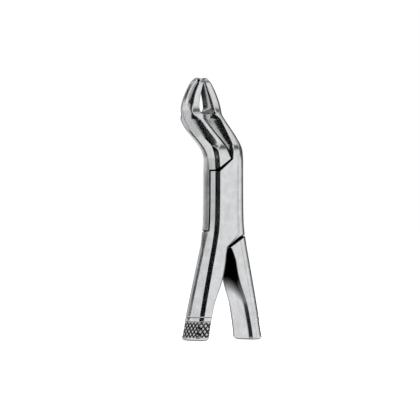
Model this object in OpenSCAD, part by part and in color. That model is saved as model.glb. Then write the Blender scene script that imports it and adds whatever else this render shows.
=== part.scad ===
// Extraction forceps with bayonet beaks: two crossed halves that turn on one pivot screw.
// Millimetres. X is the way the beaks open, Y is the pivot axis from front to back, Z is up to the beak tips.
// The origin is where the pivot axis meets the flat front face of the joint.

/* [Joint] */
// Width of the joint block across the opening direction
joint_width = 16.5; // [15:0.1:18]
// Depth of the joint block along the pivot axis, both lapped halves together
joint_depth = 12.5; // [11.5:0.1:15]
// Leg of the chamfer along the left front and right back edges of the joint
joint_chamfer = 1.8; // [1:0.1:2.2]
// Width of the gentle bevel on the front face, beside the right edge of the joint
front_bevel_width = 3.6; // [2:0.1:4]
// Fall of that bevel
front_bevel_fall = 0.9; // [0.5:0.1:1.2]
// Width of the gentle bevel on the left side, beside the back edge of the joint
joint_bevel_width = 6; // [5:0.1:6.2]
// Fall of that side bevel
joint_bevel_fall = 0.5; // [0.3:0.1:0.9]
// Width of the side bevel on the neck and the handle
limb_bevel_width = 4.8; // [3:0.1:5]
// Fall of the side bevel on the neck and the handle
limb_bevel_fall = 0.9; // [0.5:0.1:1.2]
// Height of three of the four lap shoulders above or below the pivot, at their outer ends
shoulder_low = 15.8; // [15:0.1:17]
// Height below the pivot of the back plate's lower end, at its outer end
back_plate_low = 13.6; // [13:0.1:16]
// Height of each lap shoulder above or below the pivot at its inner end
shoulder_high = 21.9; // [20.8:0.1:22.4]
// How far the inner end of a lap shoulder lies past the middle of the joint
shoulder_overhang = 1; // [0.6:0.1:1.6]

/* [Neck and beaks] */
// Height of the beak tips above the pivot
tip_height = 63.2; // [61:0.2:68]
// Distance of the beaks behind the middle of the joint
head_setback = 19; // [14:0.2:21]
// Height above the pivot where the back of the neck starts to lean back
neck_foot = 22.8; // [22.4:0.1:24.4]
// Rise of the back contour of the neck over its bend
neck_rise_back = 22.2; // [20:0.2:24]
// Height above the pivot where the front of the neck starts to lean back
lean_foot = 27.6; // [26.8:0.1:28.6]
// Height above the pivot where the front of the beaks stands upright again
lean_top = 46.4; // [45:0.2:48]
// Height above the pivot where the neck reaches its full width
neck_wide_height = 37; // [33:0.5:40]
// Half width over both beaks at their widest place
head_half_width = 10.7; // [9.6:0.1:12]
// Height above the pivot of the widest place of the beaks
head_wide_height = 46; // [45:0.5:48]
// Depth of a beak at its heel, along the pivot axis
heel_depth = 9.4; // [8:0.1:10.6]
// Depth of a beak just below its rounded tip
tip_depth = 7; // [5.8:0.1:8]
// Half width over both beaks at the very tip
tip_half_width = 3.5; // [2.4:0.1:4]
// Height of the bottom of the gap between the beaks
crotch_height = 44.8; // [43:0.2:45.6]
// Height of the rounded bottom of that gap
crotch_rise = 3.4; // [2.4:0.1:4.6]
// Width of the gap between the beaks at its widest
grip_gap = 8.6; // [6:0.2:10]
// Distance of the very tip of a beak from the middle
tip_offset = 2.7; // [2:0.1:3]
// Height of the notch between the closed tips
tip_notch = 1.9; // [1.2:0.1:2.6]
// Gap between the closed beak tips
tip_gap = 0.6; // [0.4:0.1:1.6]
// Depth of the hollow along the inner face of each beak
hollow_depth = 1.6; // [0.8:0.1:2]
// Leg of the chamfer on the left neck's outer front edge
neck_chamfer = 3; // [1.5:0.1:3.4]
// Width of that chamfer on the front face at the foot of the neck
neck_chamfer_foot = 6; // [4:0.1:6.4]
// Width of the rounding on the right neck's outer front edge, at the crotch
neck_round_width = 4.4; // [3.6:0.1:4.6]
// Depth of that rounding along the pivot axis
neck_round_depth = 6.4; // [3:0.1:6.8]
// Width of the facet on each neck beside the seam, at the crotch
neck_facet_width = 5.2; // [3:0.1:5.4]
// Depth of that facet along the pivot axis
neck_facet_depth = 7; // [3:0.1:7.4]

/* [Handles] */
// Distance of the handle ends below the pivot
handle_reach = 68.4; // [62:0.2:110]
// Distance below the pivot where the handles start to flare
flare_start = 13.2; // [11:0.2:14.4]
// Length over which the outer sides bend from the joint into the flare
flare_bend = 6; // [3:0.5:8]
// Distance of the inner face of a handle end from the middle
handle_gap = 12.8; // [11:0.2:18]
// Thickness of a handle at its end
handle_thickness = 7.6; // [6:0.2:9]
// How far the inner face of each handle is filled out towards the middle in the crotch
crotch_web = 1.2; // [0:0.1:1.4]
// How much deeper the handle ends are than the joint, all of it at the back
handle_flare = 2.8; // [0:0.2:4]
// Leg of the chamfer along one outer edge of a handle
handle_chamfer = 1.7; // [1:0.1:2.4]
// Leg on the front face of the flat chamfer along the inner front edge of a handle, at its end
inner_chamfer = 1; // [0.7:0.1:1.4]
// Distance below the pivot where that chamfer starts to grow
inner_chamfer_start = 34; // [30:0.5:44]
// Radius of the rounding at the handle ends
end_round = 1.4; // [1:0.1:2.4]

/* [Pivot screw] */
// Diameter of the smooth shank that runs in the back half
shank_diameter = 5; // [4.4:0.1:5.6]
// Diameter of the fixed end in the front half
stub_diameter = 4; // [3.2:0.1:4.3]
// Depth of the hole for the fixed end in the front half
stub_length = 4.4; // [3.6:0.1:4.6]
// Diameter of the countersunk head at the back face
head_diameter = 8.6; // [7.4:0.1:9.4]
// Width of the screwdriver slot
slot_width = 1.1; // [0.8:0.1:1.5]
// Depth of the screwdriver slot
slot_depth = 0.9; // [0.6:0.1:1.1]

/* [Fits] */
// Radial running clearance of the shank in the back half
shank_clearance = 0.05; // [0.02:0.01:0.1]
// Radial clearance round the countersunk head
head_clearance = 0.12; // [0.1:0.01:0.25]
// Space left at the bottom of the hole for the fixed end
stub_clearance = 0.2; // [0.1:0.05:0.4]
// Running gap between the lapped flat faces
lap_gap = 0.2; // [0.1:0.05:0.3]
// Gap between a lap shoulder and the half that it faces
shoulder_gap = 0.55; // [0.3:0.05:0.7]
// Gap between the two halves above and below the lapped joint
seam_gap = 0.8; // [0.6:0.05:1.1]

/* [Hidden] */
$fn = 96;
steel = [0.74, 0.75, 0.77];
screw_steel = [0.66, 0.67, 0.69];

half_width = joint_width / 2;
half_depth = joint_depth / 2;
half_seam = seam_gap / 2;
gap_wide_height = crotch_height + crotch_rise;
heel_height = neck_foot + neck_rise_back;
cap_height = tip_depth / 2;
cap_foot = tip_height - cap_height;
notch_foot = tip_height - tip_notch;
handle_end_x = handle_gap + handle_thickness;
screw_head_depth = (head_diameter - shank_diameter) / 2;
// Share of the section that is left at the top of a tip, so that it ends in a small flat and not in a line
tip_flat = 0.12;
// Height over which the tilted seam beside the joint straightens out
seam_turn = 7;
// Height above the lower shoulder end at which the neck starts to widen
neck_flare_start = 2.6;
// Height above and below the shoulders over which the joint's side bevel turns into that of the limbs
bevel_run = 6;
// Length over which the front bends into and out of its lean
lean_bend = 2.4;
// How far below the lean the left neck's chamfer starts
foot_lead = 1;
foot_start = lean_foot - foot_lead;
// Heights over which that chamfer gets its width and its depth
foot_run = 2.5;
depth_run = 7;
// Depth of that chamfer at its foot, and its leg where it runs out at the heel
foot_depth = 1.2;
heel_leg = 1;
// Height below the crotch over which the heel turns into a beak
heel_run = 3;
// How far above the crotch the left beak's front rounding starts, and above the crotch's round it is full
round_lead = 1;
round_tail = 2;
left_round_start = crotch_height + round_lead;
left_round_end = gap_wide_height + round_tail;
// Distance below the pivot where the crotch is filled out most, and how far that reaches up and down
web_middle = 38;
web_reach = 13;
// Length over which the inner front chamfer of a handle grows
inner_chamfer_run = 22;
// How many times longer that chamfer's leg is on the inner face than on the front face
inner_chamfer_turn = 1.6;
// How far a handle's outer face bows off a straight flare, and how steeply its inner face leaves the seam
flare_bow = 0.12;
inner_steepness = 1.3;
// How early the facet beside the seam widens, and how full a tip stays. 1 is even, less is earlier or fuller.
facet_growth = 0.7;
tip_fullness = 0.7;
// How full the corners are: 0 is a flat chamfer and 1 is a full round
edge_bulge = 0.3;
left_bulge = 0.55;
round_bulge = 0.8;
// Leg of the small rounding on edges that are not chamfered
edge_round = 0.6;
// Shares of a beak's width and depth that its outer corners take
beak_front_share = [0.5, 0.42];
beak_back_share = [0.4, 0.3];
corner_steps = 3;
side_steps = 6;
face_steps = 2;

function mix(a, b, t) = a + (b - a) * t;
function part_way(z, low, high) = max(0, min(1, (z - low) / (high - low)));
function ease(t) = t * t * (3 - 2 * t);
function spread(low, high, count) = [for (i = [0 : count]) mix(low, high, i / count)];
// How far a rounded corner or end has come at t, as a quarter of an ellipse
function quarter(t) = sqrt(1 - (1 - t) * (1 - t));
// A length that starts from nothing in a soft bend
function soft_run(length, bend) = (length + sqrt(length * length + bend * bend)) / 2;

// Outlines of the neck and beak against height. X values are for the half whose beak lies at +X.
function cap_shrink(z) = max(tip_flat, quarter(1 - part_way(z, cap_foot, tip_height)));
function beak_taper(z) = mix(heel_depth, tip_depth, part_way(z, heel_height, cap_foot));
function beak_half_depth(z) = beak_taper(z) / 2 * cap_shrink(z);
function lean_run(z) = soft_run(z - lean_foot, lean_bend) - soft_run(z - lean_top, lean_bend);
function front_lean(z) = lean_run(z) / (lean_top - lean_foot);
function back_lean(z) = ease(part_way(z, neck_foot, neck_foot + neck_rise_back));
function head_front(z) = mix(-half_depth, head_setback - beak_half_depth(z), front_lean(z));
function head_back(z) = mix(half_depth, head_setback + beak_half_depth(z), back_lean(z));
function neck_widening(z) = ease(part_way(z, shoulder_low + neck_flare_start, neck_wide_height));
function neck_outer(z) = mix(half_width, head_half_width, neck_widening(z));
function beak_rise(z) = part_way(z, head_wide_height, tip_height);
function beak_outer(z) = mix(tip_half_width, head_half_width, cos(90 * beak_rise(z)));
function head_outer(z) = z < head_wide_height ? neck_outer(z) : beak_outer(z);
// The gap narrows to the tips halfway between a straight line and a quarter sine
function gap_share(t) = (t + sin(90 * t)) / 2;
function gap_fall(z) = 1 - part_way(z, gap_wide_height, cap_foot + cap_height / 2);
function beak_gap(z) = mix(tip_gap, grip_gap, gap_share(gap_fall(z)));
function crotch_gap(z) = mix(seam_gap, grip_gap, quarter(part_way(z, crotch_height, gap_wide_height)));
function head_inner(z) = (z < gap_wide_height ? crotch_gap(z) : beak_gap(z)) / 2;

// Outlines of the handle against height, for the half whose handle lies at -X.
// The outer face bends softly and then flares almost straight.
// The inner face leaves the seam steeply and then levels off, with a web in the crotch.
function flare_length(z) = soft_run(-z - flare_start, flare_bend);
function flare_run(z) = flare_length(z) / flare_length(-handle_reach);
function flare_share(s) = s + flare_bow * s * (1 - s);
function inner_share(s) = 1 - pow(1 - s, inner_steepness);
function down_from(start, z) = part_way(-z, start, handle_reach);
function handle_outer(z) = mix(half_width, handle_end_x, flare_share(flare_run(z)));
function web_off(z) = min(1, abs(z + web_middle) / web_reach);
function web(z) = crotch_web * pow(1 - web_off(z) * web_off(z), 2);
function handle_inner(z) = mix(half_seam, handle_gap, inner_share(down_from(shoulder_high, z))) - web(z);
function handle_back(z) = half_depth + handle_flare * down_from(shoulder_high, z);

// One corner from a to b round c.
function corner(a, c, b, bulge) =
    let (pull = mix((a + b) / 2, c, bulge))
    [for (t = spread(0, 1, corner_steps)) (1 - t) * (1 - t) * a + 2 * t * (1 - t) * pull + t * t * b];
// Points between two corners, bowed along X by bow.
function side(a, b, bow, steps) =
    [for (i = [1 : steps - 1]) let (t = i / steps) mix(a, b, t) + 4 * t * (1 - t) * [bow, 0]];
function toward(a, b, distance) = a + (b - a) / norm(b - a) * distance;

// One level outline at height z. Corners run left front, right front, right back, left back, each as [x, y].
// Each corner has a leg [along x, along y] and a bulge. The left side is bowed by left_bow.
function outline(z, corners, legs, bulges, left_bow) =
    let (lf = corners[0], rf = corners[1], rb = corners[2], lb = corners[3])
    let (lf_side = toward(lf, lb, legs[0][1]), lf_face = toward(lf, rf, legs[0][0]))
    let (rf_side = toward(rf, rb, legs[1][1]), rf_face = toward(rf, lf, legs[1][0]))
    let (rb_side = toward(rb, rf, legs[2][1]), rb_face = toward(rb, lb, legs[2][0]))
    let (lb_side = toward(lb, lf, legs[3][1]), lb_face = toward(lb, rb, legs[3][0]))
    let (flat_points = concat(
        corner(lf_side, lf, lf_face, bulges[0]), side(lf_face, rf_face, 0, face_steps),
        corner(rf_face, rf, rf_side, bulges[1]), side(rf_side, rb_side, 0, side_steps),
        corner(rb_side, rb, rb_face, bulges[2]), side(rb_face, lb_face, 0, face_steps),
        corner(lb_face, lb, lb_side, bulges[3]), side(lb_side, lf_side, left_bow, side_steps)))
    [for (p = flat_points) [p[0], p[1], z]];

// Legs of the long edges, by where they lie on the finished forceps: chamfers run along the left front and
// right back, gentle bevels along the others. Hand is 1 for the half used as drawn, -1 for the mirrored one.
function front_leg(side, hand, chamfer) =
    side * hand < 0 ? [chamfer, chamfer] : [front_bevel_width, front_bevel_fall];
function limb_share(z) = ease(part_way(abs(z), shoulder_low, shoulder_low + bevel_run));
function side_bevel(z) =
    mix([joint_bevel_fall, joint_bevel_width], [limb_bevel_fall, limb_bevel_width], limb_share(z));
function back_leg(side, hand, chamfer, z) = side * hand < 0 ? side_bevel(z) : [chamfer, chamfer];

// A joint section. Both halves are ground flush there, so both sides follow the start of the flare.
function joint_ring(z, hand) =
    let (reach = handle_outer(z))
    outline(z,
        [[-reach, -half_depth], [reach, -half_depth], [reach, half_depth], [-reach, half_depth]],
        [front_leg(-1, hand, joint_chamfer), front_leg(1, hand, joint_chamfer),
            back_leg(1, hand, joint_chamfer, z), back_leg(-1, hand, joint_chamfer, z)],
        [edge_bulge, edge_bulge, edge_bulge, edge_bulge], 0);

// Legs of the outer front edge of a neck. On the right one a rounding grows up to the crotch.
// On the left one a chamfer starts wide and flat at the foot and runs out at the heel.
function neck_share(z) = part_way(z, shoulder_high, crotch_height);
function right_neck_leg(z) =
    mix([front_bevel_width, front_bevel_fall], [neck_round_width, neck_round_depth], neck_share(z));
function left_neck_leg(z) =
    let (foot = ease(part_way(z, foot_start, foot_start + foot_run)))
    let (full = ease(part_way(z, foot_start, foot_start + depth_run)))
    let (heel = ease(part_way(z, crotch_height - heel_run, crotch_height)))
    let (width = mix(joint_chamfer, mix(neck_chamfer_foot, neck_chamfer, neck_share(z)), foot))
    let (depth = mix(mix(joint_chamfer, foot_depth, foot), neck_chamfer, full))
    mix([width, depth], [heel_leg, heel_leg], heel);
// Legs of the facet beside the seam, which opens from the shoulder up to the crotch.
function facet_leg(z) =
    let (share = neck_share(z))
    edge_round / 2 * [1, 1] + [neck_facet_width * pow(share, facet_growth), neck_facet_depth * share];

// A neck or beak section. The lean tilts the inner face across the middle just above the joint.
function head_ring(z, lean, hand) =
    let (shrink = cap_shrink(z), notch = max(tip_flat, quarter(1 - part_way(z, notch_foot, tip_height))))
    let (inner = mix(tip_offset, head_inner(z), notch))
    let (outer = mix(tip_offset, head_outer(z), pow(shrink, tip_fullness)))
    let (front = head_front(z), back = head_back(z))
    let (size = [outer - inner, back - front], tilt = shoulder_overhang * lean)
    let (beak = ease(part_way(z, crotch_height - heel_run, gap_wide_height)))
    let (left_beak = ease(part_way(z, left_round_start, left_round_end)))
    let (rim = [edge_round * shrink, edge_round * shrink])
    let (front_share = [size[0] * beak_front_share[0], size[1] * beak_front_share[1]])
    let (back_share = [size[0] * beak_back_share[0], size[1] * beak_back_share[1]])
    let (outer_front = hand > 0
        ? mix(right_neck_leg(z), front_share, beak)
        : mix(left_neck_leg(z), front_share, left_beak))
    let (outer_back = mix(back_leg(1, hand, joint_chamfer, z), back_share, beak))
    let (round = mix(edge_bulge, round_bulge, beak))
    let (front_round = hand > 0 ? mix(round, round_bulge, neck_share(z)) : mix(edge_bulge, left_bulge, beak))
    let (hollow = min(hollow_depth, size[0] / 2) * ease(part_way(z, crotch_height, gap_wide_height)) * shrink)
    outline(z,
        [[inner + tilt, front], [outer, front], [outer, back], [inner - tilt, back]],
        [mix(facet_leg(z), rim, beak), outer_front, outer_back, rim],
        [round, front_round, round, round_bulge], hollow);

// A handle section, drawn in by inset for the rounded end.
function handle_ring(z, lean, inset, hand) =
    let (inner = -handle_inner(z) - inset, outer = -handle_outer(z) + inset)
    let (tilt = shoulder_overhang * lean)
    let (down = down_from(shoulder_low, z))
    let (chamfer = mix(joint_chamfer, handle_chamfer, down))
    let (growth = ease(part_way(-z, inner_chamfer_start, inner_chamfer_start + inner_chamfer_run)))
    let (edge = mix(edge_round, inner_chamfer, growth))
    let (front = -half_depth + inset, back = handle_back(z) - inset)
    outline(z,
        [[outer, front], [inner - tilt, front], [inner + tilt, back], [outer, back]],
        [front_leg(-1, hand, chamfer), [edge, edge * inner_chamfer_turn], [edge_round, edge_round],
            back_leg(-1, hand, chamfer, z)],
        [edge_bulge, 0, round_bulge, edge_bulge], 0);

// Height below the pivot of the lower end of a half's plate, at its outer end
function plate_low(hand) = hand > 0 ? shoulder_low : back_plate_low;

// The full-depth blank of one half, as outlines from the handle end up to the beak tip.
function blank_rings(hand) = concat(
    [for (a = [0 : 30 : 60])
        handle_ring(-handle_reach + end_round * (1 - cos(a)), 0, end_round * (1 - sin(a)), hand)],
    [for (z = spread(-handle_reach + end_round, -shoulder_high - seam_turn, 12)) handle_ring(z, 0, 0, hand)],
    [for (t = [0.25 : 0.25 : 1]) handle_ring(-shoulder_high - seam_turn * (1 - t), hand * t, 0, hand)],
    [for (z = spread(-plate_low(hand), shoulder_low, 6)) joint_ring(z, hand)],
    [for (t = [0 : 0.125 : 0.875]) head_ring(shoulder_high + seam_turn * t, hand * (1 - t), hand)],
    [for (z = spread(shoulder_high + seam_turn, crotch_height, 14)) head_ring(z, 0, hand)],
    [for (a = [15 : 15 : 75]) head_ring(mix(crotch_height, gap_wide_height, 1 - cos(a)), 0, hand)],
    [for (z = spread(gap_wide_height, cap_foot, 8)) head_ring(z, 0, hand)],
    [for (a = [20 : 14 : 90]) head_ring(cap_foot + cap_height * sin(a), 0, hand)]);

function middle_of(ring) =
    [for (c = [0 : 2]) let (values = [for (p = ring) p[c]]) (min(values) + max(values)) / 2];

// A closed solid through a stack of level outlines, listed from the bottom up.
module loft(rings) {
    count = len(rings[0]);
    last = len(rings) - 1;
    floor_middle = len(rings) * count;
    top_middle = floor_middle + 1;
    points = concat([for (ring = rings) each ring], [middle_of(rings[0]), middle_of(rings[last])]);
    walls = [for (k = [0 : last - 1]) for (i = [0 : count - 1])
        let (a = k * count + i, b = k * count + (i + 1) % count)
        each [[a, a + count, b + count], [a, b + count, b]]];
    ends = [for (i = [0 : count - 1])
        let (next = (i + 1) % count)
        each [[floor_middle, i, next], [top_middle, last * count + next, last * count + i]]];
    polyhedron(points = points, faces = concat(walls, ends));
}

// Height of the line along a lap shoulder with its gap, at a place along it measured from the middle.
// The shoulder's outer end lies at a height of start and a distance of reach.
function shoulder_line(start, reach, along) =
    let (slope = (shoulder_high - start) / (reach + shoulder_overhang))
    start + shoulder_gap * norm([1, slope]) + slope * (reach + along);

// The space that the lapped plate of the half of this hand takes in the other half, with its gaps.
// It is drawn for the front half and turned round for the back half.
module lap_space(hand) {
    span = 2 * joint_width;
    low = plate_low(hand);
    top_reach = handle_outer(shoulder_low);
    low_reach = handle_outer(-low);
    translate([0, lap_gap / 2, 0])
        rotate([90, 0, 0])
            linear_extrude(height = joint_depth)
                polygon([
                    [-span, shoulder_line(shoulder_low, top_reach, -span)],
                    [span, shoulder_line(shoulder_low, top_reach, span)],
                    [span, -shoulder_line(low, low_reach, -span)],
                    [-span, -shoulder_line(low, low_reach, span)]]);
}

// A round along the pivot axis, between two depths measured from the middle of the lap.
module pivot_round(from, to, start_diameter, end_diameter) {
    translate([0, from, 0])
        rotate([-90, 0, 0])
            cylinder(h = to - from, d1 = start_diameter, d2 = end_diameter);
}

// Right beak, front plate of the lap and left handle, with the blind hole for the screw's fixed end.
module front_half() {
    color(steel)
        translate([0, half_depth, 0])
            difference() {
                loft(blank_rings(1));
                rotate([0, 0, 180])
                    lap_space(-1);
                pivot_round(-stub_length, half_depth, stub_diameter, stub_diameter);
            }
}

// Left beak, back plate of the lap and right handle, with the running bore and the countersink.
module back_half() {
    bore_diameter = shank_diameter + 2 * shank_clearance;
    seat_diameter = head_diameter + 2 * head_clearance;
    color(steel)
        translate([0, half_depth, 0])
            difference() {
                mirror([1, 0, 0])
                    loft(blank_rings(-1));
                lap_space(1);
                pivot_round(-half_depth, joint_depth, bore_diameter, bore_diameter);
                pivot_round(half_depth - screw_head_depth, half_depth, bore_diameter, seat_diameter);
            }
}

// Shoulder screw: fixed end in the front half, smooth shank in the back half, slotted head flush at the back.
module pivot_screw() {
    shoulder = -lap_gap / 2;
    color(screw_steel)
        translate([0, half_depth, 0])
            difference() {
                union() {
                    pivot_round(-stub_length + stub_clearance, shoulder, stub_diameter, stub_diameter);
                    pivot_round(shoulder, half_depth - screw_head_depth, shank_diameter, shank_diameter);
                    pivot_round(half_depth - screw_head_depth, half_depth, shank_diameter, head_diameter);
                }
                translate([0, half_depth, 0])
                    cube([2 * head_diameter, 2 * slot_depth, slot_width], center = true);
            }
}

front_half();
back_half();
pivot_screw();
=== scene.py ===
# %% [markdown]
# # Extraction forceps
# The tool is two forged steel halves that cross in a lapped joint and turn on one pivot screw.
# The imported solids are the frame: they say where every piece sits and what it moves with.
# Here each half is made again with finer steps, gets the cut grip at its handle end, and its satin finish.

# %% Load the frame
import math

import bmesh
import bpy
from mathutils import Matrix, Vector


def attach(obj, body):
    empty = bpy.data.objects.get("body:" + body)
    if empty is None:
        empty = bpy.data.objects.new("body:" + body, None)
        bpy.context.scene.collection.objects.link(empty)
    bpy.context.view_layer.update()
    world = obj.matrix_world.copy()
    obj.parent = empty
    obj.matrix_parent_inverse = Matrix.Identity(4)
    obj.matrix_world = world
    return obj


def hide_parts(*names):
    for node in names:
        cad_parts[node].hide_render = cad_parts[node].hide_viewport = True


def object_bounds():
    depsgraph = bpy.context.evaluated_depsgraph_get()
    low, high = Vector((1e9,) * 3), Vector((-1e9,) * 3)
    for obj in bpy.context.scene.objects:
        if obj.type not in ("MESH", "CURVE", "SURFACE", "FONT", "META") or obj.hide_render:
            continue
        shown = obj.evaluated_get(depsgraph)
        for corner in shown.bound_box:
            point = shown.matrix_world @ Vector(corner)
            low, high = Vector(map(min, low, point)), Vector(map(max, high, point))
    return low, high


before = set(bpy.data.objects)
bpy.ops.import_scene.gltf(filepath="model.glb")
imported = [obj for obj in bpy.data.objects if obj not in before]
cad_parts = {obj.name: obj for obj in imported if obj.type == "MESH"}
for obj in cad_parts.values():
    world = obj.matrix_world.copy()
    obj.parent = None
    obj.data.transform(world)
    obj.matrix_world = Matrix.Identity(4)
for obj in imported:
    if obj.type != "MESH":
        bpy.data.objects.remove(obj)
cad_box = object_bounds()
MM = 0.001

# %% [markdown]
# ## Sizes
# The halves follow the same driving sizes as the solids, so that the looks can't drift away from them.
# All lengths are in millimetres and become metres only when a point is placed. X is the way the beaks open,
# Y runs along the pivot from front to back, and Z goes up to the beak tips. Depths are measured from the
# middle of the lap, which lies half the joint's depth behind the front face.

# %% Sizes of the joint
joint_width = 16.5
joint_depth = 12.5
half_width = joint_width / 2
half_depth = joint_depth / 2
joint_chamfer = 1.8
# Gentle bevels on the front face, on the left side of the joint, and on the left side of neck and handle
front_bevel_width = 3.6
front_bevel_fall = 0.9
joint_bevel_width = 6.0
joint_bevel_fall = 0.5
limb_bevel_width = 4.8
limb_bevel_fall = 0.9
bevel_run = 6.0
# Outer and inner ends of the slanting shoulders. The back plate's lower end lies higher than the others.
shoulder_low = 15.8
back_plate_low = 13.6
shoulder_high = 21.9
shoulder_overhang = 1.0
shoulder_gap = 0.55
lap_gap = 0.2
# The seam between the halves, above and below the joint, and the height over which it straightens out
seam_gap = 0.8
seam_turn = 7.0
print("joint:", joint_width, "mm wide and", joint_depth, "mm deep")

# %% Sizes of neck and beaks
tip_height = 63.2
head_setback = 19.0
neck_foot = 22.8
neck_rise_back = 22.2
heel_height = neck_foot + neck_rise_back
lean_foot = 27.6
lean_top = 46.4
lean_bend = 2.4
neck_flare_start = 2.6
neck_wide_height = 37.0
head_half_width = 10.7
head_wide_height = 46.0
heel_depth = 9.4
tip_depth = 7.0
tip_half_width = 3.5
tip_offset = 2.7
tip_notch = 1.9
tip_gap = 0.6
cap_height = tip_depth / 2
cap_foot = tip_height - cap_height
crotch_height = 44.8
crotch_rise = 3.4
gap_wide_height = crotch_height + crotch_rise
grip_gap = 8.6
hollow_depth = 1.6
# Share of the section that is left at the top of a tip, and how full a tip stays: 1 is even, less is fuller
tip_flat = 0.12
tip_fullness = 0.7
print("beak tips:", tip_height, "mm above the pivot")

# %% Sizes of the edges on neck and beaks
neck_chamfer = 3.0
neck_chamfer_foot = 6.0
neck_round_width = 4.4
neck_round_depth = 6.4
neck_facet_width = 5.2
neck_facet_depth = 7.0
facet_growth = 0.7
# The left neck's chamfer starts just below the lean, and gets its width and its depth over these heights
foot_lead = 1.0
foot_start = lean_foot - foot_lead
foot_run = 2.5
depth_run = 7.0
foot_depth = 1.2
# It runs out at the heel, above which the left beak's front rounding starts
heel_leg = 1.0
heel_run = 3.0
round_lead = 1.0
round_tail = 2.0
left_round_start = crotch_height + round_lead
left_round_end = gap_wide_height + round_tail
# Shares of a beak's width and depth that its outer corners take
beak_front_share = (0.5, 0.42)
beak_back_share = (0.4, 0.3)
print("chamfer on the left neck:", neck_chamfer_foot, "mm wide at its foot,", neck_chamfer, "mm above")

# %% Sizes of the handles
handle_reach = 68.4
flare_start = 13.2
flare_bend = 6.0
flare_bow = 0.12
handle_gap = 12.8
handle_thickness = 7.6
inner_steepness = 1.3
crotch_web = 1.2
web_middle = 38.0
web_reach = 13.0
handle_flare = 2.8
handle_chamfer = 1.7
inner_chamfer = 1.0
inner_chamfer_turn = 1.6
inner_chamfer_start = 34.0
inner_chamfer_run = 22.0
end_round = 1.4
print("length from handle ends to tips:", handle_reach + tip_height, "mm")

# %% [markdown]
# ## Contours
# A forged half is easiest to describe by how its four sides run up the tool: outer side, inner side, front
# and back. Each contour is a short function of the height. The neck eases back into its bend, the beaks
# round off like a quarter of an ellipse, and the handles flare almost straight.

# %% Small curves that the contours share


def mix(a, b, share):
    return a + (b - a) * share


def mix_pair(a, b, share):
    return mix(a[0], b[0], share), mix(a[1], b[1], share)


def part_way(z, low, high):
    return max(0.0, min(1.0, (z - low) / (high - low)))


def ease(share):
    return share * share * (3 - 2 * share)


def quarter(share):
    return math.sqrt(max(0.0, 1 - (1 - share) ** 2))


def soft_run(length, bend):
    """A length that starts from nothing in a soft bend."""
    return (length + math.hypot(length, bend)) / 2


def spread(low, high, count):
    return [mix(low, high, step / count) for step in range(count + 1)]


print("halfway through an ease:", ease(0.5))

# %% Contours of neck and beak


def cap_shrink(z):
    return max(tip_flat, quarter(1 - part_way(z, cap_foot, tip_height)))


def beak_half_depth(z):
    return mix(heel_depth, tip_depth, part_way(z, heel_height, cap_foot)) / 2 * cap_shrink(z)


def head_front(z):
    run = soft_run(z - lean_foot, lean_bend) - soft_run(z - lean_top, lean_bend)
    return mix(-half_depth, head_setback - beak_half_depth(z), run / (lean_top - lean_foot))


def head_back(z):
    lean = ease(part_way(z, neck_foot, heel_height))
    return mix(half_depth, head_setback + beak_half_depth(z), lean)


def head_outer(z):
    if z < head_wide_height:
        widening = ease(part_way(z, shoulder_low + neck_flare_start, neck_wide_height))
        return mix(half_width, head_half_width, widening)
    rise = part_way(z, head_wide_height, tip_height)
    return mix(tip_half_width, head_half_width, math.cos(math.pi / 2 * rise))


def head_inner(z):
    if z < gap_wide_height:
        return mix(seam_gap, grip_gap, quarter(part_way(z, crotch_height, gap_wide_height))) / 2
    left = 1 - part_way(z, gap_wide_height, cap_foot + cap_height / 2)
    return mix(tip_gap, grip_gap, (left + math.sin(math.pi / 2 * left)) / 2) / 2


print("half width over the beaks at the heel:", round(head_outer(crotch_height), 2), "mm")

# %% Contours of the handle


def handle_outer(z):
    down = soft_run(-z - flare_start, flare_bend) / soft_run(handle_reach - flare_start, flare_bend)
    return mix(half_width, handle_gap + handle_thickness, down + flare_bow * down * (1 - down))


def handle_inner(z):
    down = part_way(-z, shoulder_high, handle_reach)
    web_off = min(1, abs(z + web_middle) / web_reach)
    web = crotch_web * (1 - web_off**2) ** 2
    return mix(seam_gap / 2, handle_gap, 1 - (1 - down) ** inner_steepness) - web


def handle_back(z):
    return half_depth + handle_flare * part_way(-z, shoulder_high, handle_reach)


print("handle end:", handle_inner(-handle_reach), "to", handle_outer(-handle_reach), "mm off the middle")

# %% [markdown]
# ## Sections
# At every height the half is a four-sided outline with shaped corners: broad chamfers along two edges of
# the tool, gentle bevels along the other two, and full rounds on the beaks. A corner is a curve that starts
# on one side, is pulled towards the sharp corner, and ends on the next side. No pull gives a flat chamfer,
# full pull a round.

# %% Corners and outlines
edge_pull = 0.3
left_pull = 0.55
round_pull = 0.8
edge_round = 0.6
corner_steps = 8
face_steps = 8
side_steps = 12
# For each corner, the corner across the same face and the corner along the same side
across_face = (1, 0, 3, 2)
along_side = (3, 2, 1, 0)


def corner(start, sharp, end, pull):
    handle = ((start + end) / 2).lerp(sharp, pull)
    shares = spread(0, 1, corner_steps)
    return [start.lerp(handle, share).lerp(handle.lerp(end, share), share) for share in shares]


def side(start, end, bow, steps):
    return [start.lerp(end, t) + Vector((4 * t * (1 - t) * bow, 0)) for t in spread(0, 1, steps)[1:-1]]


def toward(start, end, distance):
    return start + (end - start).normalized() * distance


def outline(corners, legs, pulls, left_bow):
    """Points round one section: left front corner, right front, right back and left back."""
    sharp = [Vector(place) for place in corners]
    face = [toward(sharp[k], sharp[across_face[k]], legs[k][0]) for k in range(4)]
    edge = [toward(sharp[k], sharp[along_side[k]], legs[k][1]) for k in range(4)]
    return (
        corner(edge[0], sharp[0], face[0], pulls[0]) + side(face[0], face[1], 0, face_steps)
        + corner(face[1], sharp[1], edge[1], pulls[1]) + side(edge[1], edge[2], 0, side_steps)
        + corner(edge[2], sharp[2], face[2], pulls[2]) + side(face[2], face[3], 0, face_steps)
        + corner(face[3], sharp[3], edge[3], pulls[3]) + side(edge[3], edge[0], left_bow, side_steps)
    )


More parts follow.
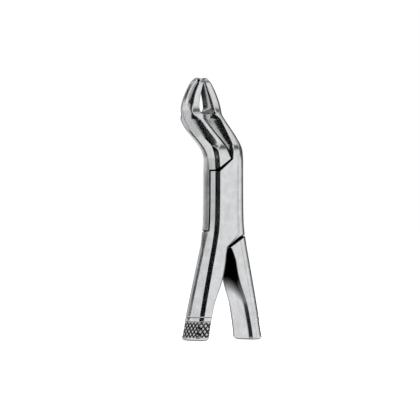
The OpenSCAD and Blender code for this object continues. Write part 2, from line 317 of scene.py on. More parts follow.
ring_count = 4 * (corner_steps + 1) + 2 * (face_steps - 1) + 2 * (side_steps - 1)
print("points round one section:", ring_count)

# %% Legs of the long edges, and the joint's section


def front_leg(facing, hand, chamfer):
    """A chamfer along the left front edge of the tool, and a gentle bevel along the right one."""
    return (chamfer, chamfer) if facing * hand < 0 else (front_bevel_width, front_bevel_fall)


def side_bevel(z):
    """The gentle bevel on the left side: wide and flat on the joint, narrower and steeper on the limbs."""
    share = ease(part_way(abs(z), shoulder_low, shoulder_low + bevel_run))
    return mix_pair((joint_bevel_fall, joint_bevel_width), (limb_bevel_fall, limb_bevel_width), share)


def back_leg(facing, hand, chamfer, z):
    return side_bevel(z) if facing * hand < 0 else (chamfer, chamfer)


def joint_section(z, hand):
    reach = handle_outer(z)
    corners = [(-reach, -half_depth), (reach, -half_depth), (reach, half_depth), (-reach, half_depth)]
    fronts = [front_leg(facing, hand, joint_chamfer) for facing in (-1, 1)]
    backs = [back_leg(facing, hand, joint_chamfer, z) for facing in (1, -1)]
    return outline(corners, fronts + backs, [edge_pull] * 4, 0)


print("leg of the joint's left front chamfer:", front_leg(-1, 1, joint_chamfer))

# %% Edges of the necks


def neck_share(z):
    return part_way(z, shoulder_high, crotch_height)


def right_neck_leg(z):
    """The rounding on the right neck's outer front edge, which grows up to the crotch."""
    foot = (front_bevel_width, front_bevel_fall)
    return mix_pair(foot, (neck_round_width, neck_round_depth), neck_share(z))


def left_neck_leg(z):
    """The chamfer on the left neck, which starts wide and flat at the foot and runs out at the heel."""
    foot = ease(part_way(z, foot_start, foot_start + foot_run))
    full = ease(part_way(z, foot_start, foot_start + depth_run))
    heel = ease(part_way(z, crotch_height - heel_run, crotch_height))
    width = mix(joint_chamfer, mix(neck_chamfer_foot, neck_chamfer, neck_share(z)), foot)
    depth = mix(mix(joint_chamfer, foot_depth, foot), neck_chamfer, full)
    return mix_pair((width, depth), (heel_leg, heel_leg), heel)


def facet_leg(z):
    """The facet beside the seam, which opens from the shoulder up to the crotch."""
    share = neck_share(z)
    width = edge_round / 2 + neck_facet_width * share**facet_growth
    depth = edge_round / 2 + neck_facet_depth * share
    return width, depth


print("facet beside the seam at the crotch:", facet_leg(crotch_height))

# %% Sections of neck, beak and handle


def head_section(z, lean, hand):
    """A section of neck or beak. The lean tilts the inner face across the middle just above the joint."""
    shrink = cap_shrink(z)
    notch = max(tip_flat, quarter(1 - part_way(z, tip_height - tip_notch, tip_height)))
    inner = mix(tip_offset, head_inner(z), notch)
    outer = mix(tip_offset, head_outer(z), shrink**tip_fullness)
    front = head_front(z)
    back = head_back(z)
    wide = outer - inner
    deep = back - front
    tilt = shoulder_overhang * lean
    beak = ease(part_way(z, crotch_height - heel_run, gap_wide_height))
    left_beak = ease(part_way(z, left_round_start, left_round_end))
    rim = (edge_round * shrink, edge_round * shrink)
    beak_front = (beak_front_share[0] * wide, beak_front_share[1] * deep)
    beak_back = (beak_back_share[0] * wide, beak_back_share[1] * deep)
    pull = mix(edge_pull, round_pull, beak)
    if hand > 0:
        outer_front = mix_pair(right_neck_leg(z), beak_front, beak)
        front_pull = mix(pull, round_pull, neck_share(z))
    else:
        outer_front = mix_pair(left_neck_leg(z), beak_front, left_beak)
        front_pull = mix(edge_pull, left_pull, beak)
    outer_back = mix_pair(back_leg(1, hand, joint_chamfer, z), beak_back, beak)
    hollow = min(hollow_depth, wide / 2) * ease(part_way(z, crotch_height, gap_wide_height)) * shrink
    corners = [(inner + tilt, front), (outer, front), (outer, back), (inner - tilt, back)]
    legs = [mix_pair(facet_leg(z), rim, beak), outer_front, outer_back, rim]
    return outline(corners, legs, [pull, front_pull, pull, round_pull], hollow)


def handle_section(z, lean, inset, hand):
    """A section of a handle, drawn in by an inset for the rounded end."""
    inner = -handle_inner(z) - inset
    outer = -handle_outer(z) + inset
    front = -half_depth + inset
    back = handle_back(z) - inset
    tilt = shoulder_overhang * lean
    chamfer = mix(joint_chamfer, handle_chamfer, part_way(-z, shoulder_low, handle_reach))
    growth = ease(part_way(-z, inner_chamfer_start, inner_chamfer_start + inner_chamfer_run))
    edge = mix(edge_round, inner_chamfer, growth)
    corners = [(outer, front), (inner - tilt, front), (inner + tilt, back), (outer, back)]
    inner_legs = [(edge, edge * inner_chamfer_turn), (edge_round, edge_round)]
    legs = [front_leg(-1, hand, chamfer), *inner_legs, back_leg(-1, hand, chamfer, z)]
    return outline(corners, legs, [edge_pull, 0, round_pull, edge_pull], 0)


print("corner of the handle end:", handle_section(-handle_reach, 0, 0, 1)[0])

# %% [markdown]
# ## Stations
# The section is worked out at many heights, called stations, from the handle end up to the beak tip. Where
# the shape turns quickly, as in the crotch and the rounded ends, the stations stand closer together.

# %% Stations of one half
grip_top = -55.4
grip_steps = 14
handle_steps = 20
seam_steps = 8
joint_steps = 18
neck_steps = 24
beak_steps = 24
# Degrees between the stations round a handle end, the bottom of the gap and a beak tip
quarter_turn = 90
end_turn = 15
gap_turn = 9
tip_turn = 8


def plate_low(hand):
    """Height below the pivot of the lower end of a half's plate, at its outer end."""
    return shoulder_low if hand > 0 else back_plate_low


def handle_stations(hand):
    made = []
    for angle in range(0, quarter_turn, end_turn):
        turn = math.radians(angle)
        z = -handle_reach + end_round * (1 - math.cos(turn))
        made.append((z, handle_section(z, 0, end_round * (1 - math.sin(turn)), hand)))
    heights = spread(-handle_reach + end_round, grip_top, grip_steps)
    heights += spread(grip_top, -shoulder_high - seam_turn, handle_steps)[1:]
    made += [(z, handle_section(z, 0, 0, hand)) for z in heights]
    for t in spread(0, 1, seam_steps)[1:]:
        z = -shoulder_high - seam_turn * (1 - t)
        made.append((z, handle_section(z, hand * t, 0, hand)))
    return made


def head_stations(hand):
    made = []
    for t in spread(0, 1, seam_steps)[:-1]:
        z = shoulder_high + seam_turn * t
        made.append((z, head_section(z, hand * (1 - t), hand)))
    heights = spread(shoulder_high + seam_turn, crotch_height, neck_steps)
    for angle in range(gap_turn, quarter_turn, gap_turn):
        heights.append(mix(crotch_height, gap_wide_height, 1 - math.cos(math.radians(angle))))
    heights += spread(gap_wide_height, cap_foot, beak_steps)
    for angle in range(tip_turn, quarter_turn + 1, tip_turn):
        heights.append(cap_foot + cap_height * math.sin(math.radians(angle)))
    return made + [(z, head_section(z, 0, hand)) for z in heights]


def stations(hand):
    """Pairs of height and section, from the bottom up. Hand is 1 for the front half, -1 for the back one."""
    joint_heights = spread(-plate_low(hand), shoulder_low, joint_steps)
    joint = [(z, joint_section(z, hand)) for z in joint_heights]
    return handle_stations(hand) + joint + head_stations(hand)


print("stations along one half:", len(stations(1)))

# %% [markdown]
# ## Painted shade
# The crotch of the handles and the hollow of a beak are darkened with painted shade, and painted dark lines
# run along the inner edges of the handles and round the rim of each handle end. Shade could be painted by
# hand.
# Here it follows from a point's place on its section and from its height, so it stays right when a size
# changes.

# %% How much painted shade a point gets
inner_start = 2 * corner_steps + face_steps + 1
inner_end = inner_start + side_steps - 1
hollow_start = ring_count - side_steps
# Distances below the pivot between which the crotch and the inner front edge turn from dark to clear
crotch_dark = 36.0
crotch_clear = 45.0
crotch_slant = 6.0
edge_dark = 38.0
edge_clear = 52.0
# Painted shade on the handle's inner edges, where it draws dark lines, and on the rim of the handle end
edge_shade = 0.6
end_line = 0.6
end_shade = 0.75
# Shade of a hollow at its back and front rims, where across it changes, and the share of it at the heel
hollow_back_shade = 0.9
hollow_front_shade = 0.4
hollow_change = (0.15, 0.6)
hollow_heel = 0.6


def crotch_shade(place, z):
    """Painted shade: 1 on a handle's inner face deep in the crotch, fading to 0 lower down. The front clears
    last.
    """
    across = (place - inner_start) / side_steps
    lower = crotch_slant * (1 - across) ** 3
    return 1 - part_way(-z, crotch_dark + lower / 2, crotch_clear + lower) ** 2


def handle_painted_shade(place, z):
    """Painted shade in the crotch of a handle, and painted dark lines along its two inner edges and on the
    rim of its end.
    """
    end = end_shade * (1 - part_way(z, -handle_reach + end_line / 2, -handle_reach + end_line))
    if inner_start <= place < inner_end:
        return max(end, crotch_shade(place, z))
    if inner_start - corner_steps - 1 <= place < inner_start:
        return max(end, mix(1, edge_shade, part_way(-z, edge_dark, edge_clear)))
    if inner_end <= place < inner_end + corner_steps:
        return max(end, edge_shade)
    return end


# Painted shade in the hollow of a beak: darkest at its back rim and towards the tip
def hollow_painted_shade(place, z):
    across = (place - hollow_start) / side_steps
    if not 0 <= across <= 1:
        return 0.0
    shade = mix(hollow_back_shade, hollow_front_shade, ease(part_way(across, *hollow_change)))
    height = mix(hollow_heel, 1, part_way(z, gap_wide_height, cap_foot))
    return shade * height * part_way(z, crotch_height, gap_wide_height)


# How much painted shade a point gets: in the hollow of a beak above the crotch, and on a handle below the
# joint
def painted_shade_share(place, z):
    if z > crotch_height:
        return hollow_painted_shade(place, z)
    return 0.0 if z > -shoulder_high else handle_painted_shade(place, z)


print("dullness deep in the crotch:", painted_shade_share(inner_start + 1, -crotch_dark))

# %% [markdown]
# ## Lofting a half
# A loft could be bridged from loose rings. Extruding one ring upwards is simpler: every new ring keeps the
# order of the old one, and a number stored on each vertex says which point of the section it takes. The
# first and the last ring are filled, and a small fan closes each without long thin faces. Each vertex also
# keeps how far round the section it lies, for the grip, and how much painted shade it gets.

# %% Loft from a circle of vertices


def girths(section):
    """Distance of each point round the section from its first point, and the length of the whole round."""
    run = [0.0]
    for before, after in zip(section, section[1:] + section[:1]):
        run.append(run[-1] + (after - before).length)
    return run[:-1], run[-1]


def loft(levels):
    shell = bmesh.new()
    order = shell.verts.layers.int.new("order")
    girth = shell.verts.layers.float.new("girth")
    painted_shade = shell.verts.layers.float.new("painted_shade")
    ring = bmesh.ops.create_circle(shell, cap_ends=False, segments=ring_count, radius=1)["verts"]
    for place, vert in enumerate(ring):
        vert[order] = place
    edges = shell.edges[:]
    for level, (z, section) in enumerate(levels):
        if level:
            made = bmesh.ops.extrude_edge_only(shell, edges=edges)["geom"]
            ring = [part for part in made if isinstance(part, bmesh.types.BMVert)]
            kept = set(ring)
            lines = [part for part in made if isinstance(part, bmesh.types.BMEdge)]
            edges = [line for line in lines if kept.issuperset(line.verts)]
        along, whole = girths(section)
        for vert in ring:
            place = vert[order]
            vert.co = Vector((section[place].x, section[place].y, z)) * MM
            vert[girth] = along[place] if along[place] < whole / 2 else along[place] - whole
            vert[painted_shade] = painted_shade_share(place, z)
        if level == 0:
            bmesh.ops.contextual_create(shell, geom=edges)
    bmesh.ops.contextual_create(shell, geom=edges)
    ends = [face for face in shell.faces if len(face.verts) > 4]
    bmesh.ops.poke(shell, faces=ends)
    bmesh.ops.recalc_face_normals(shell, faces=shell.faces)
    return shell


trial = loft(stations(1))
print("faces of one lofted half:", len(trial.faces))
trial.free()

# %% [markdown]
# ## Cut grip
# The handle ends are cut with two sets of slanting grooves that leave small diamonds, below two border
# lines. A bump texture would look flat at the outline, so the faces there are cut finer and the grooves are
# pressed in. How deep each point lies is kept as an attribute, because the material darkens the grooves
# with painted shade.

# %% Where the grooves lie
knurl_low = -66.6
knurl_high = -59.2
knurl_pitch = 2.9
knurl_depth = 0.42
groove_steepness = 1.15
border_lines = (-56.8, -59.0)
border_width = 0.3
border_depth = 0.7
# Lengths over which the cuts run out at the sides, the foot and the top of the grip
side_fade = 0.5
foot_fade = 0.4
top_fade = 0.3


def groove_share(distance, pitch):
    """1 in the middle of a groove, 0 on the ridge halfway to the next one."""
    off = abs((distance / pitch + 0.5) % 1 - 0.5) * 2
    return max(0.0, 1 - off * groove_steepness)


def grip_share(girth, z, reach):
    """How deep a point of the grip is pressed in, from 0 on the surface to 1 in a groove."""
    low, high = reach
    within = part_way(girth, low, low + side_fade) * (1 - part_way(girth, high - side_fade, high))
    above_foot = part_way(z, knurl_low - foot_fade, knurl_low)
    rows = above_foot * (1 - part_way(z, knurl_high - top_fade, knurl_high))
    diamonds = max(groove_share(girth + z, knurl_pitch), groove_share(girth - z, knurl_pitch))
    line = max(max(0.0, 1 - abs(z - height) / border_width) for height in border_lines)
    return max(diamonds * rows, border_depth * line) * within


print("rows of diamonds:", round((knurl_high - knurl_low) / knurl_pitch, 1))

# %% Press the grooves into a handle end
grip_clear = 0.1
cut_top = grip_top - grip_clear
grip_cuts = 3
grip_margin = 1.0


def grip_reach(shell, girth, order, hand):
    """Start and end of the grip round the handle, from the back face over the outer side to the front."""
    low = corner_steps * 3 + face_steps + side_steps + 1
    # The front half's grip takes in its front face. The back half's ends halfway round its front bevel.
    high = corner_steps + face_steps if hand > 0 else corner_steps // 2
    level = [vert for vert in shell.verts if abs(vert.co.z / MM - border_lines[0]) < grip_margin]
    return (
        min(vert[girth] for vert in level if vert[order] == low),
        max(vert[girth] for vert in level if vert[order] == high),
    )


def cut_grip(shell, hand):
    girth = shell.verts.layers.float["girth"]
    groove = shell.verts.layers.float.new("groove")
    order = shell.verts.layers.int["order"]
    reach = grip_reach(shell, girth, order, hand)
    low = reach[0] - grip_margin
    high = reach[1] + grip_margin
    quads = [face for face in shell.faces if len(face.verts) == 4]
    zone = [face for face in quads if face.calc_center_median().z < cut_top * MM
            and all(low < vert[girth] < high for vert in face.verts)]
    edges = list({edge for face in zone for edge in face.edges})
    bmesh.ops.subdivide_edges(shell, edges=edges, cuts=grip_cuts, use_grid_fill=True)
    shell.normal_update()
    moves = []
    for vert in shell.verts:
        z = vert.co.z / MM
        if z < cut_top:
            vert[groove] = grip_share(vert[girth], z, reach)
            moves.append((vert, vert.normal * (-knurl_depth * vert[groove] * MM)))
    for vert, move in moves:
        vert.co += move
    return len(moves)


trial = loft(stations(1))
print("points in the cut grip:", cut_grip(trial, 1))
trial.free()

# %% [markdown]
# ## Lapped joint
# Half of the joint's depth is cut away from each half, between two slanting shoulders, so that the halves
# cross and lie flat on each other. The space that is cut is one block: a cube whose top and bottom are
# slanted. A Boolean takes it out of the forging, as the mill does. The sharp edges that this leaves are
# broken by a second, larger block that reaches only skin deep: a core keeps it out of the joint's inside.

# %% The space of a plate
edge_break = 0.25
parting_break = 0.55
core_reach = 26
core_steps = 26


def shoulder_line(start, reach, along):
    """Height of a shoulder with its gap. Its outer end is at height start, a reach away from the middle."""
    slope = (shoulder_high - start) / (reach + shoulder_overhang)
    return start + shoulder_gap * math.hypot(1, slope) + slope * (reach + along)


def lap_block(hand, rise, depth):
    """The other half's plate with its gaps, as a block grown by a rise at its ends and a depth at the lap."""
    block = bmesh.new()
    bmesh.ops.create_cube(block, size=1)
    bmesh.ops.scale(block, vec=Vector((4 * joint_width, 2 * joint_depth, 1)) * MM, verts=block.verts)
    low = plate_low(-hand)
    for vert in block.verts:
        along = -hand * vert.co.x / MM
        if vert.co.z > 0:
            line = shoulder_line(shoulder_low, handle_outer(shoulder_low), along)
        else:
            line = -shoulder_line(low, handle_outer(-low), -along)
        vert.co.z = (line + math.copysign(rise, line)) * MM
    middle = hand * (joint_depth - lap_gap / 2 - depth)
    bmesh.ops.translate(block, vec=Vector((0, middle, 0)) * MM, verts=block.verts)
    return block


def mirror(shape):
    bmesh.ops.scale(shape, vec=(-1, 1, 1), verts=shape.verts)
    bmesh.ops.recalc_face_normals(shape, faces=shape.faces)


def joint_core(hand):
    """The inside of the joint, drawn in from its surface by the depth of the broken edges."""
    share = 1 - edge_break / half_depth
    heights = spread(-core_reach, core_reach, core_steps)
    core = loft([(z, [point * share for point in joint_section(z, hand)]) for z in heights])
    if hand < 0:
        mirror(core)
    return core


trial = joint_core(1)
print("core of the joint:", len(trial.faces), "faces")
trial.free()

# %% Carving with blocks
round_steps = 96


def to_object(name, shape):
    mesh = bpy.data.meshes.new(name)
    shape.to_mesh(mesh)
    shape.free()
    made = bpy.data.objects.new(name, mesh)
    bpy.context.scene.collection.objects.link(made)
    return made


def add_two_slots(piece):
    for _ in range(2):
        piece.data.materials.append(None)


def cutter(name, shape):
    """A tool for carving. Its faces use a second material slot, and so do the faces that it leaves."""
    for face in shape.faces:
        face.material_index = 1
    tool = to_object(name, shape)
    add_two_slots(tool)
    return tool


def carve(piece, *blocks):
    """Takes the blocks out of the piece and keeps the result as its own mesh."""
    for block in blocks:
        cut = piece.modifiers.new("cut", "BOOLEAN")
        cut.operation = "DIFFERENCE"
        cut.solver = "EXACT"
        cut.object = block
    ready = piece.evaluated_get(bpy.context.evaluated_depsgraph_get())
    carved = bpy.data.meshes.new_from_object(ready)
    piece.modifiers.clear()
    piece.data = carved
    for block in blocks:
        bpy.data.objects.remove(block)
    return piece


def rod(start, end, start_diameter, end_diameter):
    """A round along the pivot, between two depths measured from the middle of the lap."""
    shape = bmesh.new()
    turn = Matrix.Rotation(math.radians(-90), 4, "X")
    place = Matrix.Translation((0, (start + end) / 2 * MM, 0))
    radii = {"radius1": start_diameter / 2 * MM, "radius2": end_diameter / 2 * MM}
    bmesh.ops.create_cone(
        shape, cap_ends=True, segments=round_steps, depth=(end - start) * MM, matrix=place @ turn, **radii)
    return shape


print("a bore has", round_steps, "sides")

# %% [markdown]
# ## The two halves
# The front half carries the right beak and the left handle. The back half is its mirror image with the lap
# cut from the other side, and it has the running bore and the countersink for the pivot screw. Mirroring
# turns a mesh inside out, so its normals are worked out again before anything is cut from it. The faces that
# the mill leaves, and the ends of the plates, are marked: they aren't polished, and the material darkens them
# almost to black as painted shade in the gaps and parting lines of the joint.

# %% Make the front and the back half
shank_diameter = 5.0
shank_clearance = 0.05
stub_diameter = 4.0
stub_length = 4.4
head_diameter = 8.6
head_clearance = 0.12
head_depth = (head_diameter - shank_diameter) / 2
overshoot = 0.02
shoulder_margin = 1.0
level_normal = 0.5
forged_crease = math.radians(24)
to_frame = Matrix.Translation((0, half_depth * MM, 0))


def at_shoulder(face):
    """True for the ends of a lapped plate, which stand against the shoulders of the other half."""
    height = abs(face.center.z) / MM
    near_shoulder = back_plate_low < height < shoulder_high + shoulder_margin
    return near_shoulder and abs(face.normal.z) > level_normal


def make_half(name, hand, body, *blocks):
    shell = loft(stations(hand))
    cut_grip(shell, hand)
    if hand < 0:
        mirror(shell)
    else:
        bmesh.ops.recalc_face_normals(shell, faces=shell.faces)
    rim = carve(cutter("rim", lap_block(hand, edge_break, parting_break)), cutter("core", joint_core(hand)))
    half = to_object(name, shell)
    add_two_slots(half)
    carve(half, cutter("lap", lap_block(hand, 0, 0)), rim, *blocks)
    half.data.transform(to_frame)
    faces = half.data.polygons
    # Faces left by the mill and the plate ends: unpolished, and darkened by the material as painted shade in
    # the joint's gaps
    milled_and_gap_shade = half.data.attributes.new("milled_and_gap_shade", "FLOAT", "FACE")
    milled_and_gap_shade.data.foreach_set("value", [float(face.material_index or at_shoulder(face)) for face in faces])
    faces.foreach_set("material_index", [0] * len(faces))
    faces.foreach_set("use_smooth", [True] * len(faces))
    half.data.set_sharp_from_angle(angle=forged_crease)
    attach(half, body)
    print(name, len(faces), "faces")
    return half


stub_hole = cutter("stub_hole", rod(-stub_length, half_depth, stub_diameter, stub_diameter))
front_half = make_half("front_half_forging", 1, "front_limb", stub_hole)
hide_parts("front_half")

bore = shank_diameter + 2 * shank_clearance
seat = head_diameter + 2 * (head_clearance + overshoot)
bore_hole = cutter("bore_hole", rod(-half_depth, joint_depth, bore, bore))
countersink = cutter("countersink", rod(half_depth - head_depth, half_depth + overshoot, bore, seat))
back_half = make_half("back_half_forging", -1, "back_limb", bore_hole, countersink)
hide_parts("back_half")

# %% [markdown]
# ## Pivot screw
# The screw is turned on a lathe, so it is spun here from half of its profile. Small breaks on the sharp
# edges catch the light. The slot is sawn across the head afterwards.

# %% Spin the pivot screw
stub_clearance = 0.2
slot_width = 1.1
slot_depth = 0.9
screw_break = 0.12
turned_crease = math.radians(30)
weld_distance = 0.001


def screw_profile():
    """Radius and depth along the screw, from the stub end to the middle of the head."""
    stub_end = -stub_length + stub_clearance
    shoulder = -lap_gap / 2
    stub = stub_diameter / 2
    shank = shank_diameter / 2
    rim = head_diameter / 2 - 2 * screw_break
    return [
        (0, stub_end),
        (stub - screw_break, stub_end),
        (stub, stub_end + screw_break),
        (stub, shoulder),
        (shank - screw_break, shoulder),
        (shank, shoulder + screw_break),
        (shank, half_depth - head_depth),
        (rim, half_depth - 2 * screw_break),
        (rim, half_depth - screw_break),
        (rim - screw_break, half_depth),
        (0, half_depth),
    ]


def spin_screw():
    turned = bmesh.new()
    points = [turned.verts.new(Vector((radius, depth, 0)) * MM) for radius, depth in screw_profile()]
    edges = [turned.edges.new(pair) for pair in zip(points, points[1:])]
    bmesh.ops.spin(
        turned, geom=points + edges, cent=(0, 0, 0), axis=(0, 1, 0), angle=math.tau, steps=round_steps,
        use_merge=True)
    bmesh.ops.remove_doubles(turned, verts=turned.verts, dist=weld_distance * MM)
    bmesh.ops.recalc_face_normals(turned, faces=turned.faces)
    return turned


saw = bmesh.new()
bmesh.ops.create_cube(saw, size=1)
bmesh.ops.scale(saw, vec=Vector((2 * head_diameter, 2 * slot_depth, slot_width)) * MM, verts=saw.verts)
bmesh.ops.translate(saw, vec=Vector((0, half_depth, 0)) * MM, verts=saw.verts)
screw = carve(to_object("pivot_screw_turned", spin_screw()), to_object("slot", saw))
screw.data.transform(to_frame)
screw.data.polygons.foreach_set("use_smooth", [True] * len(screw.data.polygons))
screw.data.set_sharp_from_angle(angle=turned_crease)
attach(screw, "front_limb")
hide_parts("pivot_screw")
print("screw:", len(screw.data.polygons), "faces")

# %% [markdown]
# ## Satin steel
# The forgings are ground, then satin finished lengthwise. An image of brushed steel would need a UV map and
# would stretch on the beaks. So the finish is a metal whose roughness wanders in cloudy patches and in fine
# hairlines along the tool, with a faint bloom in its colour. The grooves of the grip, the crotch, the beak
# hollows, the inner edges and end rims of the handles, and the faces left by the mill are darkened with
# painted shade.

# %% Helpers for nodes


def feed(tree, target, source):
    """Links a socket to the target, or sets a plain value on it."""
    if isinstance(source, bpy.types.NodeSocket):
        tree.links.new(source, target)
    else:
        target.default_value = source


def node(tree, kind, **settings):
    """A new node. Settings named like one of its inputs go there, and the others are its own properties."""
    made = tree.nodes.new(kind)
    for name, value in settings.items():
        if name in made.inputs:
            feed(tree, made.inputs[name], value)
        else:
            setattr(made, name, value)
    return made


def blend_range(tree, source, low, high, start, end):
    """Turns values from low to high into values from start to end."""
    made = node(tree, "ShaderNodeMapRange")
    for place, value in enumerate((source, low, high, start, end)):
        feed(tree, made.inputs[place], value)
    return made.outputs[0]


def combine(tree, operation, first, second):
    made = node(tree, "ShaderNodeMath", operation=operation)
    feed(tree, made.inputs[0], first)
    feed(tree, made.inputs[1], second)
    return made.outputs[0]


def blend_colour(tree, share, first, second):
    return node(tree, "ShaderNodeMix", data_type="RGBA", Factor=share, A=first, B=second).outputs["Result"]


def attribute(tree, name):
    return node(tree, "ShaderNodeAttribute", attribute_name=name).outputs["Fac"]


print("helpers for nodes are ready")

# %% The finishes of forgings and screw
noise_range = (0.3, 0.7)
bloom_range = (0.32, 0.68)
groove_shade_range = (0.1, 0.8)
cloud_scale = 90
bloom_scale = 240
hairline_swing = 0.03
hairline_height = 0.0001
hairline_strength = 0.06
bloom_bright = 1.03
bloom_dull = 0.88
# Near-black tone that painted shade tints towards, and the share of it on the faces left by the mill
painted_shade_tone = 0.012
milled_gap_shade = 0.9


def toned(colour, tone):
    return (*[tone * part for part in colour], 1)


def steel(name, colour, roughness, hairline):
    """A satin metal. Roughness has two ends, and hairline is how finely the hairs lie along each axis."""
    made = bpy.data.materials.new(name)
    made.use_nodes = True
    tree = made.node_tree
    shader = tree.nodes["Principled BSDF"]
    shader.inputs["Metallic"].default_value = 1
    place = node(tree, "ShaderNodeTexCoord").outputs["Object"]
    stretch = node(tree, "ShaderNodeMapping", Vector=place, Scale=hairline).outputs[0]
    hairs = node(tree, "ShaderNodeTexNoise", Vector=stretch, Scale=1, Detail=3).outputs[0]
    clouds = node(tree, "ShaderNodeTexNoise", Vector=place, Scale=cloud_scale, Detail=4).outputs[0]
    blooms = node(tree, "ShaderNodeTexNoise", Vector=place, Scale=bloom_scale, Detail=3).outputs[0]
    patches = blend_range(tree, clouds, *noise_range, *roughness)
    lines = blend_range(tree, hairs, *noise_range, -hairline_swing, hairline_swing)
    feed(tree, shader.inputs["Roughness"], combine(tree, "ADD", patches, lines))
    # Painted shade in the grooves of the grip, growing with their depth
    grooves = blend_range(tree, attribute(tree, "groove"), *groove_shade_range, 0, 1)
    # Painted shade of the crotch, beak hollows, inner edges, end rims and the faces left by the mill
    milled_and_gap_shade = blend_range(tree, attribute(tree, "milled_and_gap_shade"), 0, 1, 0, milled_gap_shade)
    painted_shade_places = combine(tree, "MAXIMUM", attribute(tree, "painted_shade"), milled_and_gap_shade)
    shade = combine(tree, "MAXIMUM", grooves, painted_shade_places)
    bloom = blend_range(tree, blooms, *bloom_range, 0, 1)
    polished = blend_colour(tree, bloom, toned(colour, bloom_bright), toned(colour, bloom_dull))
    tint = blend_colour(tree, shade, polished, toned(colour, painted_shade_tone))
    feed(tree, shader.inputs["Base Color"], tint)
    feed(tree, shader.inputs["Specular Tint"], tint)
    bump = node(tree, "ShaderNodeBump", Strength=hairline_strength, Distance=hairline_height, Height=hairs)
    feed(tree, shader.inputs["Normal"], bump.outputs[0])
    return made


forged_steel = steel(
    "satin forged steel", colour=(0.72, 0.725, 0.735), roughness=(0.15, 0.21), hairline=(9000, 9000, 500))
screw_steel = steel(
    "turned screw steel", colour=(0.66, 0.665, 0.67), roughness=(0.2, 0.3), hairline=(4000, 9000, 4000))
for piece, finish in ((front_half, forged_steel), (back_half, forged_steel), (screw, screw_steel)):
    piece.data.materials.clear()
    piece.data.materials.append(finish)
    print(piece.name, "is", finish.name)

# %% [markdown]
# ## Floor and world
# The tool stands on a plain pale floor in a white room. The room is at full white only for rays that look
# at it, straight or in a reflection. It lights the tool less strongly, so that the steel keeps its own grey.
# The lengths of the room and its lights are in metres.

# %% White floor and world
floor_z = cad_box[0].z
floor_size = 6
floor_drop = 0.0002
floor_tone = 0.8
floor_roughness = 0.9
floor_glow = 0.56
room_light = 0.6
white = (1, 1, 1, 1)
white_rays = ("Is Camera Ray", "Is Glossy Ray", "Is Transmission Ray")


def seen_rays(tree):
    """1 for rays that look at the background, straight or in a reflection, and 0 for those that light."""
    path = node(tree, "ShaderNodeLightPath")
    total = path.outputs[white_rays[0]]
    for ray in white_rays[1:]:
        total = combine(tree, "MAXIMUM", total, path.outputs[ray])
    return total


def matte_paint(name, tone, roughness):
    """A paint without gloss, and the socket for how strongly it glows white."""
    made = bpy.data.materials.new(name)
    made.use_nodes = True
    shader = made.node_tree.nodes["Principled BSDF"]
    shader.inputs["Base Color"].default_value = (tone, tone, tone, 1)
    shader.inputs["Roughness"].default_value = roughness
    shader.inputs["Specular IOR Level"].default_value = 0
    shader.inputs["Emission Color"].default_value = white
    return made, shader.inputs["Emission Strength"]


floor_shape = bmesh.new()
bmesh.ops.create_grid(floor_shape, x_segments=2, y_segments=2, size=floor_size)
bmesh.ops.translate(floor_shape, vec=(0, 0, floor_z - floor_drop), verts=floor_shape.verts)
floor = to_object("floor", floor_shape)
floor.visible_glossy = False
floor_paint, floor_strength = matte_paint("white floor", floor_tone, floor_roughness)
floor_tree = floor_paint.node_tree
feed(floor_tree, floor_strength, blend_range(floor_tree, seen_rays(floor_tree), 0, 1, 0, floor_glow))
floor.data.materials.append(floor_paint)

world = bpy.data.worlds.new("white room")
bpy.context.scene.world = world
world.use_nodes = True
world_tree = world.node_tree
sky = world_tree.nodes["Background"]
sky.inputs["Color"].default_value = white
sky_light = blend_range(world_tree, seen_rays(world_tree), 0, 1, room_light, 1)
feed(world_tree, sky.inputs["Strength"], sky_light)
print("floor at", round(floor_z / MM, 2), "mm")

# %% [markdown]
# ## Cards
# Bright metal shows its surroundings more than its own colour. In a white room it almost vanishes, so a
# photographer sets dark and grey cards where the faces turned to the lens would mirror the room. They turn
# into the dark stripes and lines that draw the shape. Painting the stripes on the steel would be wrong from
# every other side. The cards are seen in reflections only.

# %% Make a card
card_tone = 0.01
card_steps = 24


def direction(azimuth, elevation):
    """From the object towards an azimuth and elevation. Azimuth 0 is in front, and grows to the right."""
    turn = math.radians(azimuth)
    tip = math.radians(elevation)
    return Vector((math.sin(turn) * math.cos(tip), -math.cos(turn) * math.cos(tip), math.sin(tip)))


def paint(name, glow):
    """A card's paint: without glow it is black, with full glow it is as white as the room."""
    made, strength = matte_paint(name, card_tone, 1)
    strength.default_value = glow
    return made


def card(name, finish, azimuths, elevations, distance):
    """A curved card round the object, between two azimuths and two elevations. Only reflections see it."""
    shape = bmesh.new()
    bmesh.ops.create_grid(shape, x_segments=card_steps, y_segments=card_steps, size=1)
    for vert in shape.verts:
        azimuth = mix(*azimuths, (vert.co.x + 1) / 2)
        elevation = mix(*elevations, (vert.co.y + 1) / 2)
        vert.co = direction(azimuth, elevation) * distance
    made = to_object(name, shape)
    made.data.materials.append(finish)
    made.visible_camera = False
    made.visible_diffuse = False
    made.visible_shadow = False
    return made


print("a card has", card_steps, "by", card_steps, "faces")

# %% Set the cards
black = paint("black card", glow=0)
dusk = paint("dark grey card", glow=0.1)
grey = paint("grey card", glow=0.5)
pale = paint("pale card", glow=0.78)
near = 2.6
far = 2.7
# In front and overhead: the bar down the left front chamfer and the dark stripes on neck and beaks
card("card_at_lens", black, (-95, -15), (-10, 36), near)
card("card_low", black, (-88, -68), (-32, -6), near)
card("card_high", black, (-70, -15), (36, 69), near)
card("card_overhead", black, (-180, 180), (69, 90), near)
card("card_left_sky", grey, (-115, -70), (36, 69), far)
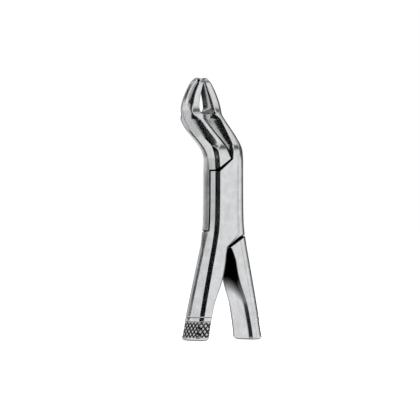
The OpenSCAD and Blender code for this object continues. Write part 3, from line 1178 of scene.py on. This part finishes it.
# At the right: the outlines along the right edges, and the greys on the right beak and neck
card("card_right_sky", grey, (15, 104), (30, 48), far)
card("card_right_high", dusk, (46, 76), (34, 58), near)
card("card_right_beak", grey, (108, 140), (28, 62), far)
card("card_right_edge", dusk, (66, 140), (-10, 30), near)
card("card_right_crease", grey, (41, 47), (-60, 60), near)
# At the left and behind: the outlines along the left edges, and the creases on joint, neck and handle
card("card_left_edge", dusk, (140, 185), (-10, 60), near)
card("card_left_band", pale, (-172, -154), (-7, 7), near)
card("card_joint_crease", black, (-154, -148), (-7, 7), near)
card("card_neck_crease", black, (-166, -151), (-18, -7), near)
card("card_handle_crease", black, (-166, -150), (7, 60), near)
card("card_left", pale, (-150, -95), (-7, 6), far)

# %% [markdown]
# ## Lamps
# Two large square lamps, as soft as the windows of a studio, give the places darkened with painted shade and
# the floor some light and shadow. They don't show in reflections, where they would make bright squares among
# the stripes.

# %% Soft lamps


def soft_box(name, azimuth, elevation, distance, size, watts):
    lamp = bpy.data.lights.new(name, "AREA")
    lamp.shape = "SQUARE"
    lamp.size = size
    lamp.energy = watts
    made = bpy.data.objects.new(name, lamp)
    bpy.context.scene.collection.objects.link(made)
    made.location = direction(azimuth, elevation) * distance
    made.rotation_euler = direction(azimuth, elevation).to_track_quat("Z", "Y").to_euler()
    made.visible_glossy = False
    return made


key = soft_box("key", azimuth=30, elevation=55, distance=1.2, size=0.9, watts=6)
fill = soft_box("fill", azimuth=-120, elevation=40, distance=1.4, size=1.2, watts=3)
print("lamps:", key.name, "and", fill.name)

# %% [markdown]
# ## Camera
# The picture is taken from the front left, level with the tool, through a long lens, so that the handles
# and the beaks keep the same scale. The frame is 210 mm wide at the joint.

# %% Camera
camera_turn = -36.6
frame_width = 210
distance = 1600
sensor_width = 36
aim = Vector((-5.4, 10.2, -3.5)) * MM
lens = bpy.data.cameras.new("catalogue lens")
lens.sensor_width = sensor_width
lens.lens = sensor_width * distance / frame_width
camera = bpy.data.objects.new("catalogue camera", lens)
bpy.context.scene.collection.objects.link(camera)
camera.location = aim + direction(camera_turn, 0) * distance * MM
camera.rotation_euler = direction(camera_turn, 0).to_track_quat("Z", "Y").to_euler()
bpy.context.scene.camera = camera
bpy.context.scene.view_settings.view_transform = "Standard"
print("lens:", round(lens.lens), "mm")
